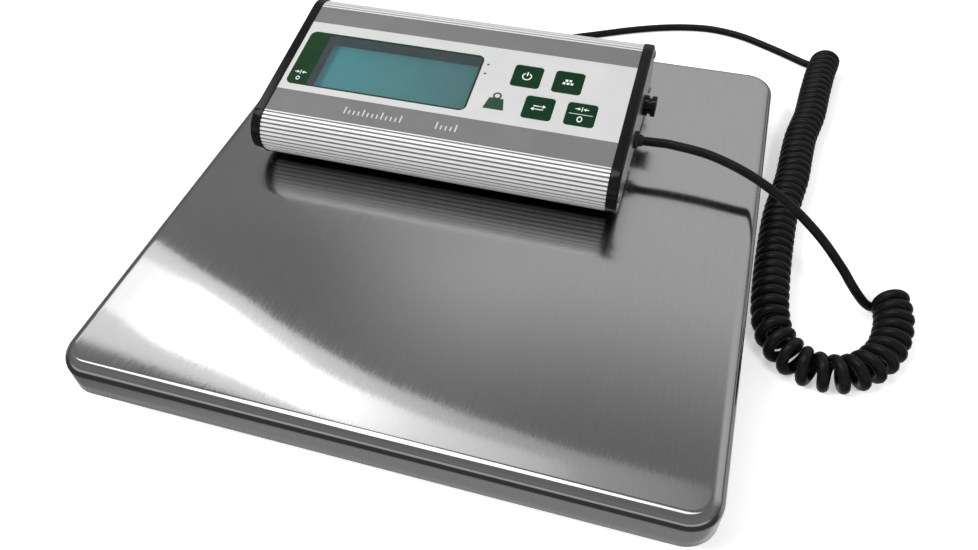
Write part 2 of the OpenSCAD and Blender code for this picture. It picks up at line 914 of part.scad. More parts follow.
platform_cover();
cover_pads();
load_frame();
stiffener_rails();
cell_holders();
load_cells();
strain_gauges();
cell_clamps();
cell_screws();
foot_cups();
foot_pads();
base_pan();
junction_box();
junction_lid();
junction_board();
cell_leads();
rear_relief();
case_extrusion();
panel_overlay();
panel_stripes();
display_border();
display_window();
display_well();
lcd_module();
lcd_backlight();
main_board();
board_posts();
key_switches();
key_power();
key_count();
key_mode();
key_zero();
bezel_left();
bezel_right();
end_plate_left();
end_plate_right();
end_screws();
jack_body();
jack_nut();
cord_gland();
battery_tray();
battery_cells();
battery_contacts();
battery_door();
door_rails();
case_feet();
cord_tail_front();
cord_coil();
cord_tail_rear();
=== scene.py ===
"""Bench scale with a separate display unit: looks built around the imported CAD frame.

Lengths of the object are millimetres in the CAD frame; MM turns them into metres. Lengths of the
stage (floor, cards, lamps and camera) are metres.
"""

import math

import bmesh
import bpy
from mathutils import Matrix, Vector


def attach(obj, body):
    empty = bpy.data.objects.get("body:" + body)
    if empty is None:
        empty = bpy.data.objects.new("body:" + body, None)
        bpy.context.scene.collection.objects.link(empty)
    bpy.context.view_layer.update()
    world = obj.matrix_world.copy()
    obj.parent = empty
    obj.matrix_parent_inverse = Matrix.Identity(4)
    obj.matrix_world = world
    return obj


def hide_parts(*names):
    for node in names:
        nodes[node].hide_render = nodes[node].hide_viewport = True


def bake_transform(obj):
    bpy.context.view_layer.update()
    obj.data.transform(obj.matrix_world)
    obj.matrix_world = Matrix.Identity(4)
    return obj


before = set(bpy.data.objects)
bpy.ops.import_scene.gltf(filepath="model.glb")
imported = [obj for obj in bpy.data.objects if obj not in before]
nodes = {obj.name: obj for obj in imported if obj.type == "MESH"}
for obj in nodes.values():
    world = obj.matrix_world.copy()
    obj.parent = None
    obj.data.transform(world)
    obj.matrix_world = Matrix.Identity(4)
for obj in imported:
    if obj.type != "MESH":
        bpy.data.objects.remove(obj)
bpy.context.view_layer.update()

MM = 0.001
scene = bpy.context.scene
scene.view_settings.view_transform = "Standard"
scene.view_settings.look = "None"

# ---- camera ----

LENS_MM = 30.453
camera_data = bpy.data.cameras.new("camera")
camera_data.sensor_width = 36.0
camera_data.lens = LENS_MM
camera = bpy.data.objects.new("camera", camera_data)
camera.location = (0.1130, -0.3159, 0.3488)
camera.rotation_euler = [math.radians(a) for a in (41.88, 1.30, 16.34)]
scene.collection.objects.link(camera)
scene.camera = camera

# ---- case and panel measures, as in the CAD ----

TILT = math.radians(10.1)
LIP_C, LIP_R = (9.85, 57.85), 13.85
PANEL_LEN = 85.6
REAR_R, LOW_R = 14.0, 8.0
CASE_FLOOR = 44.0
PANEL_DIR = (math.cos(TILT), math.sin(TILT))
PANEL_NRM = (-math.sin(TILT), math.cos(TILT))
PANEL_0 = (LIP_C[0] + LIP_R * PANEL_NRM[0], LIP_C[1] + LIP_R * PANEL_NRM[1])
REAR_C = (
    PANEL_0[0] + PANEL_LEN * PANEL_DIR[0] - REAR_R * PANEL_NRM[0],
    PANEL_0[1] + PANEL_LEN * PANEL_DIR[1] - REAR_R * PANEL_NRM[1],
)
LOW_C = (REAR_C[0] + REAR_R - LOW_R, CASE_FLOOR + LOW_R)
CASE_LEFT, CASE_RIGHT = -118.0, 76.5
BEZEL_T, PLATE_T = 5.0, 1.0
END_LEFT, END_RIGHT = CASE_LEFT - BEZEL_T - PLATE_T, CASE_RIGHT + BEZEL_T + PLATE_T
GLAND_Y, GLAND_Z = 49.5, 57.9
RELIEF_X, RELIEF_Y, RELIEF_Z = -45.0, 147.5, 28.5


def on_panel(x, up, out):
    """A point of the panel: x along the case, up its slope, out of its face."""
    return (
        x,
        PANEL_0[0] + up * PANEL_DIR[0] + out * PANEL_NRM[0],
        PANEL_0[1] + up * PANEL_DIR[1] + out * PANEL_NRM[1],
    )


# ---- mesh building ----


class Shape:
    """Gathers faces, in millimetres, and turns them into one object in metres."""

    def __init__(self):
        self.points, self.faces, self.uvs = [], [], []

    def skin(self, rings, loop=False, caps=True, uvs=None):
        """Joins equally long closed rings of points with quads."""
        n, start = len(rings[0]), len(self.points)
        for k, ring in enumerate(rings):
            self.points += [tuple(p) for p in ring]
            self.uvs += uvs[k] if uvs else [(0.0, 0.0)] * n
        count = len(rings)
        for k in range(count if loop else count - 1):
            a, b = start + k * n, start + ((k + 1) % count) * n
            for i in range(n):
                j = (i + 1) % n
                self.faces.append((a + i, a + j, b + j, b + i))
        if caps and not loop:
            self.faces.append(tuple(range(start + n - 1, start - 1, -1)))
            self.faces.append(tuple(range(start + (count - 1) * n, start + count * n)))
        return self

    def prism(self, outline, place, low, high):
        """A flat outline of (a, b) points raised from low to high; place(a, b, h) gives each point."""
        return self.skin([[place(a, b, h) for a, b in outline] for h in (low, high)])

    def add(self, other_points, other_faces, matrix):
        """Adds a placed copy of a finished mesh."""
        start = len(self.points)
        self.points += [tuple(matrix @ Vector(p)) for p in other_points]
        self.uvs += [(0.0, 0.0)] * len(other_points)
        for f in other_faces:
            self.faces.append(tuple(start + i for i in f))

    def build(self, name, materials, body=None, sharp=35, uv=False):
        mesh = bpy.data.meshes.new(name)
        mesh.from_pydata([[c * MM for c in p] for p in self.points], [], self.faces)
        if uv:
            layer = mesh.uv_layers.new(name="sheet")
            for loop in mesh.loops:
                layer.data[loop.index].uv = [c * MM for c in self.uvs[loop.vertex_index]]
        for m in materials:
            mesh.materials.append(m)
        obj = bpy.data.objects.new(name, mesh)
        scene.collection.objects.link(obj)
        outward(mesh)
        soften(mesh, sharp)
        if body:
            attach(obj, body)
        return obj


def outward(mesh):
    """Turns every face outward."""
    b = bmesh.new()
    b.from_mesh(mesh)
    bmesh.ops.recalc_face_normals(b, faces=b.faces)
    b.to_mesh(mesh)
    b.free()


def soften(mesh, sharp):
    """Smooth shading, with edges sharper than the angle kept sharp."""
    mesh.polygons.foreach_set("use_smooth", [True] * len(mesh.polygons))
    mesh.set_sharp_from_angle(angle=math.radians(sharp))
    mesh.update()


def cut(obj, cutter, sharp=35):
    """Takes cutter out of obj for good, and removes cutter."""
    modifier = obj.modifiers.new("cut", "BOOLEAN")
    modifier.operation = "DIFFERENCE"
    modifier.solver = "EXACT"
    modifier.object = cutter
    bpy.context.view_layer.update()
    graph = bpy.context.evaluated_depsgraph_get()
    mesh = bpy.data.meshes.new_from_object(obj.evaluated_get(graph))
    obj.modifiers.clear()
    obj.data = mesh
    bpy.data.objects.remove(cutter)
    soften(mesh, sharp)


def rounded_rect(half_w, half_h, r, steps=10, centre=(0.0, 0.0)):
    """The outline of a rectangle with round corners, anticlockwise."""
    out = []
    for k, (sx, sy) in enumerate(((1, 1), (-1, 1), (-1, -1), (1, -1))):
        for i in range(steps + 1):
            a = math.radians(90 * k + 90 * i / steps)
            out.append(
                (
                    centre[0] + sx * (half_w - r) + r * math.cos(a),
                    centre[1] + sy * (half_h - r) + r * math.sin(a),
                )
            )
    return out


def cosd(degrees):
    return math.cos(math.radians(degrees))


def sind(degrees):
    return math.sin(math.radians(degrees))


def case_outline(offset, step=4):
    """The case's outline in (y, z), moved outward by offset."""
    panel_deg = 90 + math.degrees(TILT)
    out = []
    for centre, r, a0, a1 in (
        (REAR_C, REAR_R, 0, panel_deg),
        (LIP_C, LIP_R, panel_deg, 270),
        (LOW_C, LOW_R, 270, 360),
    ):
        n = max(2, round((a1 - a0) / step))
        for i in range(n + 1):
            a = math.radians(a0 + (a1 - a0) * i / n)
            out.append(
                (centre[0] + (r + offset) * math.cos(a), centre[1] + (r + offset) * math.sin(a))
            )
    return out


def case_ring(x, offset):
    """The case's outline at one place along it."""
    return [(x, y, z) for y, z in case_outline(offset)]


def arc(centre, r, a0, a1, n):
    """Points along part of a circle, from angle a0 to a1 in degrees."""
    turns = [a0 + (a1 - a0) * i / n for i in range(n + 1)]
    return [(centre[0] + r * cosd(a), centre[1] + r * sind(a)) for a in turns]


def lathe_rings(profile, place, segments=40):
    """Rings for a turned shape: profile of (radius, height), place(a, b, h) for each point."""
    turns = [2 * math.pi * i / segments for i in range(segments)]
    rings = []
    for r, h in profile:
        r = max(r, 0.01)
        rings.append([place(r * math.cos(t), r * math.sin(t), h) for t in turns])
    return rings


# ---- materials ----


def set_stops(ramp, stops):
    """Gives a colour ramp its stops of (place, colour)."""
    while len(ramp.color_ramp.elements) < len(stops):
        ramp.color_ramp.elements.new(0.5)
    for element, (at, colour) in zip(ramp.color_ramp.elements, stops):
        element.position = at
        element.color = (*colour, 1.0)


class Paint:
    """A small helper round one node material with a Principled shader."""

    def __init__(self, name, metallic=0.0, specular=0.5):
        self.m = bpy.data.materials.new(name)
        self.m.use_nodes = True
        self.tree = self.m.node_tree
        self.tree.nodes.clear()
        out = self.node("OutputMaterial")
        self.shader = self.node("BsdfPrincipled")
        self.tree.links.new(self.shader.outputs["BSDF"], out.inputs["Surface"])
        self.set("Metallic", metallic)
        self.set("Specular IOR Level", specular)
        self.set("IOR", 1.5)

    def node(self, kind, **values):
        n = self.tree.nodes.new("ShaderNode" + kind)
        for k, v in values.items():
            setattr(n, k, v)
        return n

    def set(self, socket, value):
        self.shader.inputs[socket].default_value = value

    def link(self, a, b):
        self.tree.links.new(a, b)

    def coords(self, scale, kind="Object"):
        c = self.node("TexCoord")
        m = self.node("Mapping")
        m.inputs["Scale"].default_value = scale
        self.link(c.outputs[kind], m.inputs["Vector"])
        return m.outputs["Vector"]

    def noise(self, scale, detail=4.0, rough=0.55, kind="Object"):
        n = self.node("TexNoise")
        n.inputs["Scale"].default_value = 1.0
        n.inputs["Detail"].default_value = detail
        n.inputs["Roughness"].default_value = rough
        self.link(self.coords(scale, kind), n.inputs["Vector"])
        return n.outputs["Fac"]

    def ramp(self, fac, stops):
        r = self.node("ValToRGB")
        set_stops(r, stops)
        self.link(fac, r.inputs["Fac"])
        return r.outputs["Color"]

    def spread(self, fac, low, high):
        """Noise turned into a value from low to high."""
        r = self.node("MapRange")
        r.inputs["From Min"].default_value = 0.3
        r.inputs["From Max"].default_value = 0.7
        r.inputs["To Min"].default_value = low
        r.inputs["To Max"].default_value = high
        self.link(fac, r.inputs["Value"])
        return r.outputs["Result"]

    def colour(self, fac, dark, light):
        self.link(self.ramp(fac, [(0.3, dark), (0.7, light)]), self.shader.inputs["Base Color"])
        return self

    def rough(self, fac, low, high):
        self.link(self.spread(fac, low, high), self.shader.inputs["Roughness"])
        return self

    def bump(self, fac, strength, distance_mm):
        b = self.node("Bump")
        b.inputs["Strength"].default_value = strength
        b.inputs["Distance"].default_value = distance_mm * MM
        self.link(fac, b.inputs["Height"])
        self.link(b.outputs["Normal"], self.shader.inputs["Normal"])

    def add(self, a, b):
        total = self.node("Math", operation="ADD")
        self.link(a, total.inputs[0])
        self.link(b, total.inputs[1])
        return total.outputs[0]

    def axis(self, letter):
        """One of the object's own coordinates, in metres."""
        split = self.node("SeparateXYZ")
        self.link(self.coords((1.0, 1.0, 1.0)), split.inputs[0])
        return split.outputs[letter]


def grey(v):
    return (v, v, v)


def shaded(name, dark, light, rough, blotch=60.0, grain=1500.0, bump=(0.25, 0.03), **shader):
    """Colour and roughness that vary slowly, with a fine moulded or painted grain."""
    p = Paint(name, **shader)
    slow = p.noise((blotch,) * 3, detail=5.0)
    fine = p.noise((grain,) * 3, detail=3.0)
    p.colour(slow, dark, light).rough(slow, *rough)
    p.bump(fine, *bump)
    return p.m


def streaked(name, dark, light, rough, scale, metallic=1.0):
    """Drawn or brushed metal: noise that is far longer one way than the others."""
    p = Paint(name, metallic=metallic)
    lines = p.noise(scale, detail=3.0, rough=0.7)
    p.colour(lines, dark, light).rough(lines, *rough)
    p.bump(lines, 0.2, 0.02)
    return p.m


WORN_FROM, WORN_TO, WORN_ROUGH = -70.0, -25.0, 0.09


def brushed_steel():
    """Steel brushed front to back, duller towards the rear, where the display unit stands."""
    p = Paint("stainless_brushed", metallic=1.0)
    fine = p.noise((2600.0, 75.0, 1.0), detail=3.0, rough=0.7, kind="UV")
    broad = p.noise((700.0, 22.0, 1.0), detail=4.0, rough=0.6, kind="UV")
    cloud = p.noise((14.0, 9.0, 1.0), detail=3.0, kind="UV")
    mix = p.node("Mix", data_type="FLOAT")
    mix.inputs[0].default_value = 0.35
    p.link(fine, mix.inputs[2])
    p.link(broad, mix.inputs[3])
    p.colour(mix.outputs[0], grey(0.535), grey(0.585))
    rough = p.add(p.spread(mix.outputs[0], 0.04, 0.12), p.spread(cloud, -0.006, 0.008))
    worn = p.node("MapRange", interpolation_type="SMOOTHSTEP")
    worn.inputs["From Min"].default_value = WORN_FROM * MM
    worn.inputs["From Max"].default_value = WORN_TO * MM
    worn.inputs["To Max"].default_value = WORN_ROUGH
    p.link(p.axis("Y"), worn.inputs["Value"])
    p.link(p.add(rough, worn.outputs["Result"]), p.shader.inputs["Roughness"])
    p.set("Anisotropic", 0.86)
    tangent = p.node("Tangent", direction_type="UV_MAP", uv_map="sheet")
    p.link(tangent.outputs["Tangent"], p.shader.inputs["Tangent"])
    grit = p.noise((1500.0, 170.0, 1.0), detail=2.0, rough=0.6, kind="UV")
    p.bump(grit, 0.5, 0.02)
    return p.m


def ribbed_case():
    """Anodised metal with painted shade: dull, darker bottoms to its grooves and a dark underside."""
    p = Paint("case_anodised", metallic=0.3)
    lines = p.noise((25.0, 2600.0, 2600.0), detail=3.0, rough=0.7)
    flat = p.coords((0.0, 1.0, 1.0))
    # Painted shade: the colour darkens towards the bottoms of the grooves in the lip and the rear curve.
    painted_groove_shade = None
    for centre, r in ((LIP_C, LIP_R), (REAR_C, REAR_R)):
        d = p.node("VectorMath", operation="DISTANCE")
        p.link(flat, d.inputs[0])
        d.inputs[1].default_value = (0.0, centre[0] * MM, centre[1] * MM)
        groove_shade_step = p.node("MapRange")
        groove_shade_step.inputs["From Min"].default_value = (r - 0.42) * MM
        groove_shade_step.inputs["From Max"].default_value = (r - 0.06) * MM
        p.link(d.outputs["Value"], groove_shade_step.inputs["Value"])
        if painted_groove_shade:
            least = p.node("Math", operation="MINIMUM")
            p.link(painted_groove_shade, least.inputs[0])
            p.link(groove_shade_step.outputs["Result"], least.inputs[1])
            painted_groove_shade = least.outputs[0]
        else:
            painted_groove_shade = groove_shade_step.outputs["Result"]
    mix = p.node("Mix", data_type="RGBA")
    p.link(painted_groove_shade, mix.inputs[0])
    p.link(p.ramp(lines, [(0.3, grey(0.17)), (0.7, grey(0.23))]), mix.inputs[6])
    p.link(p.ramp(lines, [(0.3, grey(0.87)), (0.7, grey(0.92))]), mix.inputs[7])
    # Painted shade: the underside of the case, below the lip, is painted near black.
    below = p.node("MapRange")
    below.inputs["From Min"].default_value = (CASE_FLOOR + 0.2) * MM
    below.inputs["From Max"].default_value = (CASE_FLOOR + 0.8) * MM
    p.link(p.axis("Z"), below.inputs["Value"])
    shade = p.node("Mix", data_type="RGBA")
    shade.inputs[6].default_value = (*grey(0.012), 1.0)
    p.link(below.outputs["Result"], shade.inputs[0])
    p.link(mix.outputs[2], shade.inputs[7])
    p.link(shade.outputs[2], p.shader.inputs["Base Color"])
    p.rough(lines, 0.36, 0.46)
    p.bump(lines, 0.12, 0.015)
    return p.m


def lcd_paint():
    """Teal that darkens from left to right: painted shade where the light falls off towards the right."""
    p = Paint("lcd_reflective", specular=0.12)
    # Painted shade: the colour darkens along x, from the left end of the display to the right.
    painted_light_falloff = p.node("MapRange")
    painted_light_falloff.inputs["From Min"].default_value = -103 * MM
    painted_light_falloff.inputs["From Max"].default_value = -9 * MM
    p.link(p.axis("X"), painted_light_falloff.inputs["Value"])
    blotch = p.noise((26.0, 26.0, 26.0), detail=2.0)
    colour = p.ramp(
        p.add(painted_light_falloff.outputs["Result"], p.spread(blotch, -0.06, 0.06)),
        [(0.0, (0.026, 0.185, 0.215)), (0.5, (0.030, 0.150, 0.158)), (1.0, (0.026, 0.105, 0.112))],
    )
    p.link(colour, p.shader.inputs["Base Color"])
    p.rough(blotch, 0.25, 0.4)
    p.bump(p.noise((2500.0,) * 3, detail=2.0), 0.1, 0.01)
    return p.m


def window_paint():
    """A clear window with a trace of haze."""
    p = Paint("window_film", specular=0.15)
    haze = p.noise((90.0, 90.0, 90.0), detail=4.0)
    p.colour(haze, (0.55, 0.68, 0.70), (0.65, 0.78, 0.80)).rough(haze, 0.05, 0.12)
    p.set("Alpha", 0.04)
    p.bump(p.noise((600.0,) * 3, detail=2.0), 0.05, 0.01)
    return p.m


paint = {
    "steel": brushed_steel(),
    "case": ribbed_case(),
    "plate": streaked("plate_anodised", grey(0.60), grey(0.70), (0.26, 0.38), (2200.0, 2200.0, 60.0)),
    "panel": shaded(
        "panel_film", grey(0.57), grey(0.61), (0.38, 0.48), 40.0, 2600.0, (0.12, 0.02), specular=0.3
    ),
    "stripe": shaded(
        "stripe_film", grey(0.165), grey(0.187), (0.38, 0.48), 40.0, 2600.0, (0.12, 0.02), specular=0.3
    ),
    "green": shaded(
        "border_film", (0.008, 0.034, 0.012), (0.012, 0.045, 0.017), (0.3, 0.42), 60.0, 2200.0,
        (0.1, 0.02), specular=0.12,
    ),
    "key": shaded(
        "key_film", (0.003, 0.028, 0.010), (0.006, 0.038, 0.015), (0.28, 0.4), 90.0, 2400.0,
        (0.12, 0.02), specular=0.12,
    ),
    "print": shaded("print_white", grey(0.84), grey(0.92), (0.4, 0.5), 300.0, 3000.0, (0.1, 0.01)),
    "print_grey": shaded(
        "print_grey", grey(0.55), grey(0.62), (0.4, 0.5), 300.0, 3000.0, (0.1, 0.01)
    ),
    "print_dark": shaded(
        "print_green", (0.006, 0.045, 0.018), (0.010, 0.060, 0.025), (0.4, 0.5), 300.0, 3000.0, (0.1, 0.01)
    ),
    "well": shaded(
        "well_lining", (0.004, 0.008, 0.009), (0.007, 0.013, 0.015), (0.45, 0.6), 80.0, specular=0.1
    ),
    "lcd": lcd_paint(),
    "window": window_paint(),
    "gloss": shaded(
        "bezel_gloss", grey(0.004), grey(0.007), (0.12, 0.2), 70.0, 1400.0, (0.05, 0.02), specular=0.3
    ),
    "jacket": shaded(
        "cord_jacket", (0.004, 0.004, 0.0045), (0.008, 0.008, 0.0085), (0.28, 0.4), 120.0, 900.0,
        (0.1, 0.04), specular=0.25,
    ),
    "rubber": shaded(
        "rubber_black", (0.014, 0.014, 0.015), (0.028, 0.028, 0.030), (0.55, 0.75), 90.0, 1100.0, (0.3, 0.05)
    ),
    "abs": shaded(
        "moulded_black", (0.016, 0.016, 0.018), (0.028, 0.028, 0.031), (0.4, 0.55), 50.0, 1300.0, (0.35, 0.05)
    ),
    "frame": shaded(
        "painted_black", (0.020, 0.021, 0.023), (0.036, 0.037, 0.040), (0.35, 0.5), 30.0, 700.0, (0.3, 0.06)
    ),
    "spring": streaked("ground_steel", grey(0.36), grey(0.48), (0.28, 0.4), (900.0, 30.0, 900.0)),
    "zinc": streaked("bright_zinc", grey(0.58), grey(0.70), (0.18, 0.3), (400.0, 400.0, 400.0)),
    "potting": shaded(
        "white_potting", grey(0.62), grey(0.74), (0.4, 0.55), 150.0, 900.0, (0.3, 0.05)
    ),
    "board": shaded(
        "circuit_board", (0.010, 0.070, 0.028), (0.022, 0.110, 0.050), (0.3, 0.45), 200.0, 1800.0, (0.2, 0.03)
    ),
    "sleeve": streaked(
        "cell_sleeve", (0.30, 0.19, 0.03), (0.42, 0.27, 0.05), (0.2, 0.32), (40.0, 300.0, 300.0), metallic=0.5
    ),
}

CARRIED = {
    "case_extrusion": "case", "panel_overlay": "panel", "panel_stripes": "stripe", "display_border": "green",
    "display_window": "window", "display_well": "well", "lcd_module": "lcd", "lcd_backlight": "potting",
    "main_board": "board", "board_posts": "zinc", "key_switches": "abs", "jack_body": "abs",
    "battery_tray": "abs", "battery_cells": "sleeve", "battery_contacts": "zinc", "battery_door": "abs",
    "door_rails": "plate", "case_feet": "rubber", "cover_pads": "rubber", "load_frame": "frame",
    "stiffener_rails": "frame", "cell_holders": "abs", "load_cells": "spring", "strain_gauges": "potting",
    "cell_clamps": "frame", "cell_screws": "zinc", "base_pan": "frame", "junction_box": "abs",
    "junction_lid": "abs", "junction_board": "board", "cell_leads": "jacket", "jack_nut": "gloss",
}
for name, key in CARRIED.items():
    data = nodes[name].data
    data.materials.clear()
    data.materials.append(paint[key])

# ---- cord ----

TAIL_R, WIRE_R, COIL_R = 2.5, 2.95, 10.0
LOOP_R = COIL_R - WIRE_R
STEPS_A_TURN = 20
REST = 2.55  # height of a tail's middle where it lies on the floor
# The cord's route. A scratch script worked most of these points out from where the cord is seen in
# the photograph. part.scad has the same coil line, and tails that differ near their ends.
FRONT_TAIL = [
    (87.1, 49.5, 57.9), (95, 49.8, 58.1), (103, 50, 58), (123, 48, 57), (143, 42.5, 54), (161, 35.4, 49),
    (175, 29.7, 42.3), (188.6, 22, 34.5), (201.3, 14.1, 24.5), (207.6, 10.1, 18.3), (213.7, 7.9, 12),
    (218.6, 8, 7.2), (223.3, 10, 4.1),
]
COIL_AXIS = [
    (229.2, 13), (231, 0), (230, -11.8), (226.3, -24.5), (219.3, -34.8), (210, -42.3), (199, -45.2),
    (187.9, -43.5), (178.8, -37), (172.1, -26), (169.4, -11.5), (168.7, 9.7), (169.1, 33.9), (170.3, 60),
    (172.7, 78.2), (175.6, 98.1), (177, 118.1), (179, 139.4), (183.4, 162.5), (185.9, 187.4), (189.1, 214.5),
    (193.1, 234.9),
]
REAR_TAIL = [
    (187.6, 234.1, 2.7), (182.8, 234.2, REST), (176.8, 236.8, REST), (164.1, 244.2, REST),
    (149.3, 252.1, REST), (135.4, 258.7, REST), (120.8, 262.7, REST), (105.5, 263.8, REST),
    (87.8, 261, REST), (69.7, 255.4, REST), (51.6, 247.7, REST), (34.5, 239, REST), (16.4, 229.7, REST),
    (0, 221.2, 2.6), (-15, 212.5, 5), (-28, 202, 11), (-38, 191.5, 18.5), (-43.5, 183, 25),
    (-45, 177, 28.2), (-45, 172, 28.5),
]


def curve_point(a, b, c, d, t):
    """A point between b and c of a curve that passes through all its points."""
    return 0.5 * (
        2 * b + (c - a) * t + (2 * a - 5 * b + 4 * c - d) * t * t + (3 * b - a - 3 * c + d) * t**3
    )


def smooth(points, steps):
    """A curve through the points, with this many steps from each to the next."""
    p = [Vector(q) for q in points]
    last = len(p) - 1
    out = [
        curve_point(p[max(i - 1, 0)], p[i], p[i + 1], p[min(i + 2, last)], k / steps)
        for i in range(last)
        for k in range(steps)
    ]
    return out + [p[last]]


def lengths(points):
    """How far along the line each point is."""
    run = [0.0]
    for a, b in zip(points, points[1:]):
        run.append(run[-1] + (b - a).length)
    return run


def pitch(along):
    """How far apart the turns are, that far along the coil from its loose front end."""
    stops = [(0.0, 6.5), (25.0, 6.9), (55.0, 8.3), (100.0, 8.3), (150.0, 5.93), (400.0, 5.93)]
    for (a, low), (b, high) in zip(stops, stops[1:]):
        if along <= b:
            t = (along - a) / (b - a)
            return low + (high - low) * t * t * (3 - 2 * t)
    return stops[-1][1]


def coil_points():
    """The coil's own line, from its loose front end; it starts and ends at the bottom of a turn."""
    axis = smooth([(x, y, COIL_R) for x, y in COIL_AXIS], 12)
    run = lengths(axis)
    turns, along, at = 0.0, 0.0, []
    while along < run[-1]:
        at.append((along, turns))
        turns += 1 / STEPS_A_TURN
        along += pitch(along) / STEPS_A_TURN
    whole = math.floor(turns)
    at = [(s, t) for s, t in at if t <= whole + 1e-6]
    out, i = [], 0
    for s, t in at:
        while run[i + 1] < s and i < len(run) - 2:
            i += 1
        f = (s - run[i]) / (run[i + 1] - run[i])
        centre = axis[i].lerp(axis[i + 1], f)
        heading = (axis[min(i + 2, len(axis) - 1)] - axis[max(i - 1, 0)]).normalized()
        left = Vector((-heading.y, heading.x, 0.0))
        a = 2 * math.pi * (t - 0.25)
        out.append(centre + LOOP_R * (math.cos(a) * left + math.sin(a) * Vector((0, 0, 1))))
    return out


def tube_rings(path, radii, sides):
    """Rings round a path that turn with it and don't twist."""
    rings = []
    side = Vector((0, 0, 1))
    for i, p in enumerate(path):
        heading = (path[min(i + 1, len(path) - 1)] - path[max(i - 1, 0)]).normalized()
        side = (side - heading * side.dot(heading)).normalized()
        other = heading.cross(side)
        turns = (2 * math.pi * k / sides for k in range(sides))
        rings.append([p + radii[i] * (math.cos(a) * side + math.sin(a) * other) for a in turns])
    return rings


coil = coil_points()
front = smooth(FRONT_TAIL + [coil[0], coil[1], coil[2]], 6)[: 6 * len(FRONT_TAIL)]
rear = smooth([coil[-3], coil[-2], coil[-1]] + REAR_TAIL, 6)[13:]
route = front + coil + rear
radii = []
for i in range(len(route)):
    into = min(i - len(front), len(front) + len(coil) - i) / (0.6 * STEPS_A_TURN)
    radii.append(TAIL_R + (WIRE_R - TAIL_R) * min(1.0, max(0.0, into)))
cord = Shape().skin(tube_rings(route, radii, 12)).build("coiled_cord", [paint["jacket"]], sharp=60)
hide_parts("cord_tail_front", "cord_coil", "cord_tail_rear")
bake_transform(cord)

# ---- strain reliefs ----


def x_place(x0, y0, z0):
    return lambda a, b, h: (x0 + h, y0 + a, z0 + b)


def y_place(x0, y0, z0):
    return lambda a, b, h: (x0 + a, y0 + h, z0 + b)


def z_place(x0, y0, z0):
    return lambda a, b, h: (x0 + a, y0 + b, z0 + h)


gland_profile = [
    (4.6, -3.0), (4.7, -1.2), (3.6, -1.1), (3.6, 0.0), (4.7, 0.0), (5.0, 0.3), (5.0, 1.6), (4.7, 2.0),
    (4.1, 2.25), (3.4, 2.3), (3.25, 2.6), (3.4, 2.9), (3.35, 3.3), (3.05, 3.45), (3.0, 3.7), (3.1, 3.9),
    (3.0, 4.35), (2.5, 4.6),
]
gland = (
    Shape()
    .skin(lathe_rings(gland_profile, x_place(END_RIGHT, GLAND_Y, GLAND_Z)))
    .build("gland_boot", [paint["rubber"]], "indicator")
)
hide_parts("cord_gland")

relief_profile = [
    (5.4, 0.0), (5.5, 0.3), (5.5, 2.2), (3.9, 2.3), (3.9, 4.1), (5.2, 4.2), (5.5, 4.6), (5.5, 7.4),
    (5.1, 7.9),
]
for k in range(8):
    start, size = 8.4 + 2.05 * k, 4.9 - 0.2 * k
    relief_profile += [(size - 0.5, start), (size, start + 0.35)]
    relief_profile += [(size - 0.05, start + 1.25), (size - 0.55, start + 1.6)]
relief_profile += [(3.05, 25.0), (2.6, 25.4)]
relief = (
    Shape()
    .skin(lathe_rings(relief_profile, y_place(RELIEF_X, RELIEF_Y, RELIEF_Z)))
    .build("relief_boot", [paint["rubber"]], "platform")
)
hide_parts("rear_relief")

# ---- platform ----

HALF_W, HALF_D, TOP, SKIRT_LOW = 155.0, 158.5, 40.0, 20.5
CORNER_R, RIM_R, SHEET = 16.0, 6.5, 0.9
NOTCH_R, NOTCH_LOW = 6.5, 10.0
FOOT_X, FOOT_Y = 112.0, 115.0


def cover_shell():
    """The cover: profile points are (inset from the side, height, way along the sheet)."""
    profile = [(RIM_R + 0.5, TOP, -0.5)]
    for i in range(15):
        a = math.radians(90 * i / 14)
        profile.append((RIM_R * (1 - math.sin(a)), TOP - RIM_R * (1 - math.cos(a)), RIM_R * a))
    run = RIM_R * math.pi / 2
    low = TOP - RIM_R
    profile += [
        (0.0, 27.0, run + low - 27.0),
        (0.0, SKIRT_LOW + 0.25, run + low - SKIRT_LOW),
        (0.25, SKIRT_LOW, run + low - SKIRT_LOW + 0.3),
        (SHEET - 0.25, SKIRT_LOW, run + low - SKIRT_LOW + 0.8),
        (SHEET, SKIRT_LOW + 0.25, run + low - SKIRT_LOW + 1.1),
        (SHEET, low, run + 1.0),
    ]
    inner = RIM_R - SHEET
    for i in range(8, -1, -1):
        a = math.radians(90 * i / 8)
        profile.append((RIM_R - inner * math.sin(a), TOP - RIM_R + inner * math.cos(a), inner * a))
    profile.append((RIM_R + 0.5, TOP - SHEET, -0.5))
    flat = rounded_rect(HALF_W - RIM_R, HALF_D - RIM_R, CORNER_R - RIM_R, steps=14)
    base = rounded_rect(HALF_W, HALF_D, CORNER_R, steps=14)
    rings, uvs = [], []
    for inset, z, along in profile:
        ring, uv = [], []
        for (bx, by), (fx, fy) in zip(base, flat):
            nx, ny = (bx - fx) / RIM_R, (by - fy) / RIM_R
            ring.append((bx - nx * inset, by - ny * inset, z))
            uv.append((fx + nx * along, fy + ny * along))
        rings.append(ring)
        uvs.append(uv)
    shell = Shape().skin(rings, uvs=uvs).build("cover_shell", [paint["steel"]], sharp=50, uv=True)
    notch = [(RELIEF_X - NOTCH_R, NOTCH_LOW), (RELIEF_X + NOTCH_R, NOTCH_LOW)]
    notch += arc((RELIEF_X, RELIEF_Z), NOTCH_R, 0, 180, 20)
    cutter = Shape().prism(notch, lambda a, b, h: (a, h, b), 150.0, 166.0).build("notch_cutter", [])
    cut(shell, cutter, sharp=50)
    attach(shell, "platform")
    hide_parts("platform_cover")


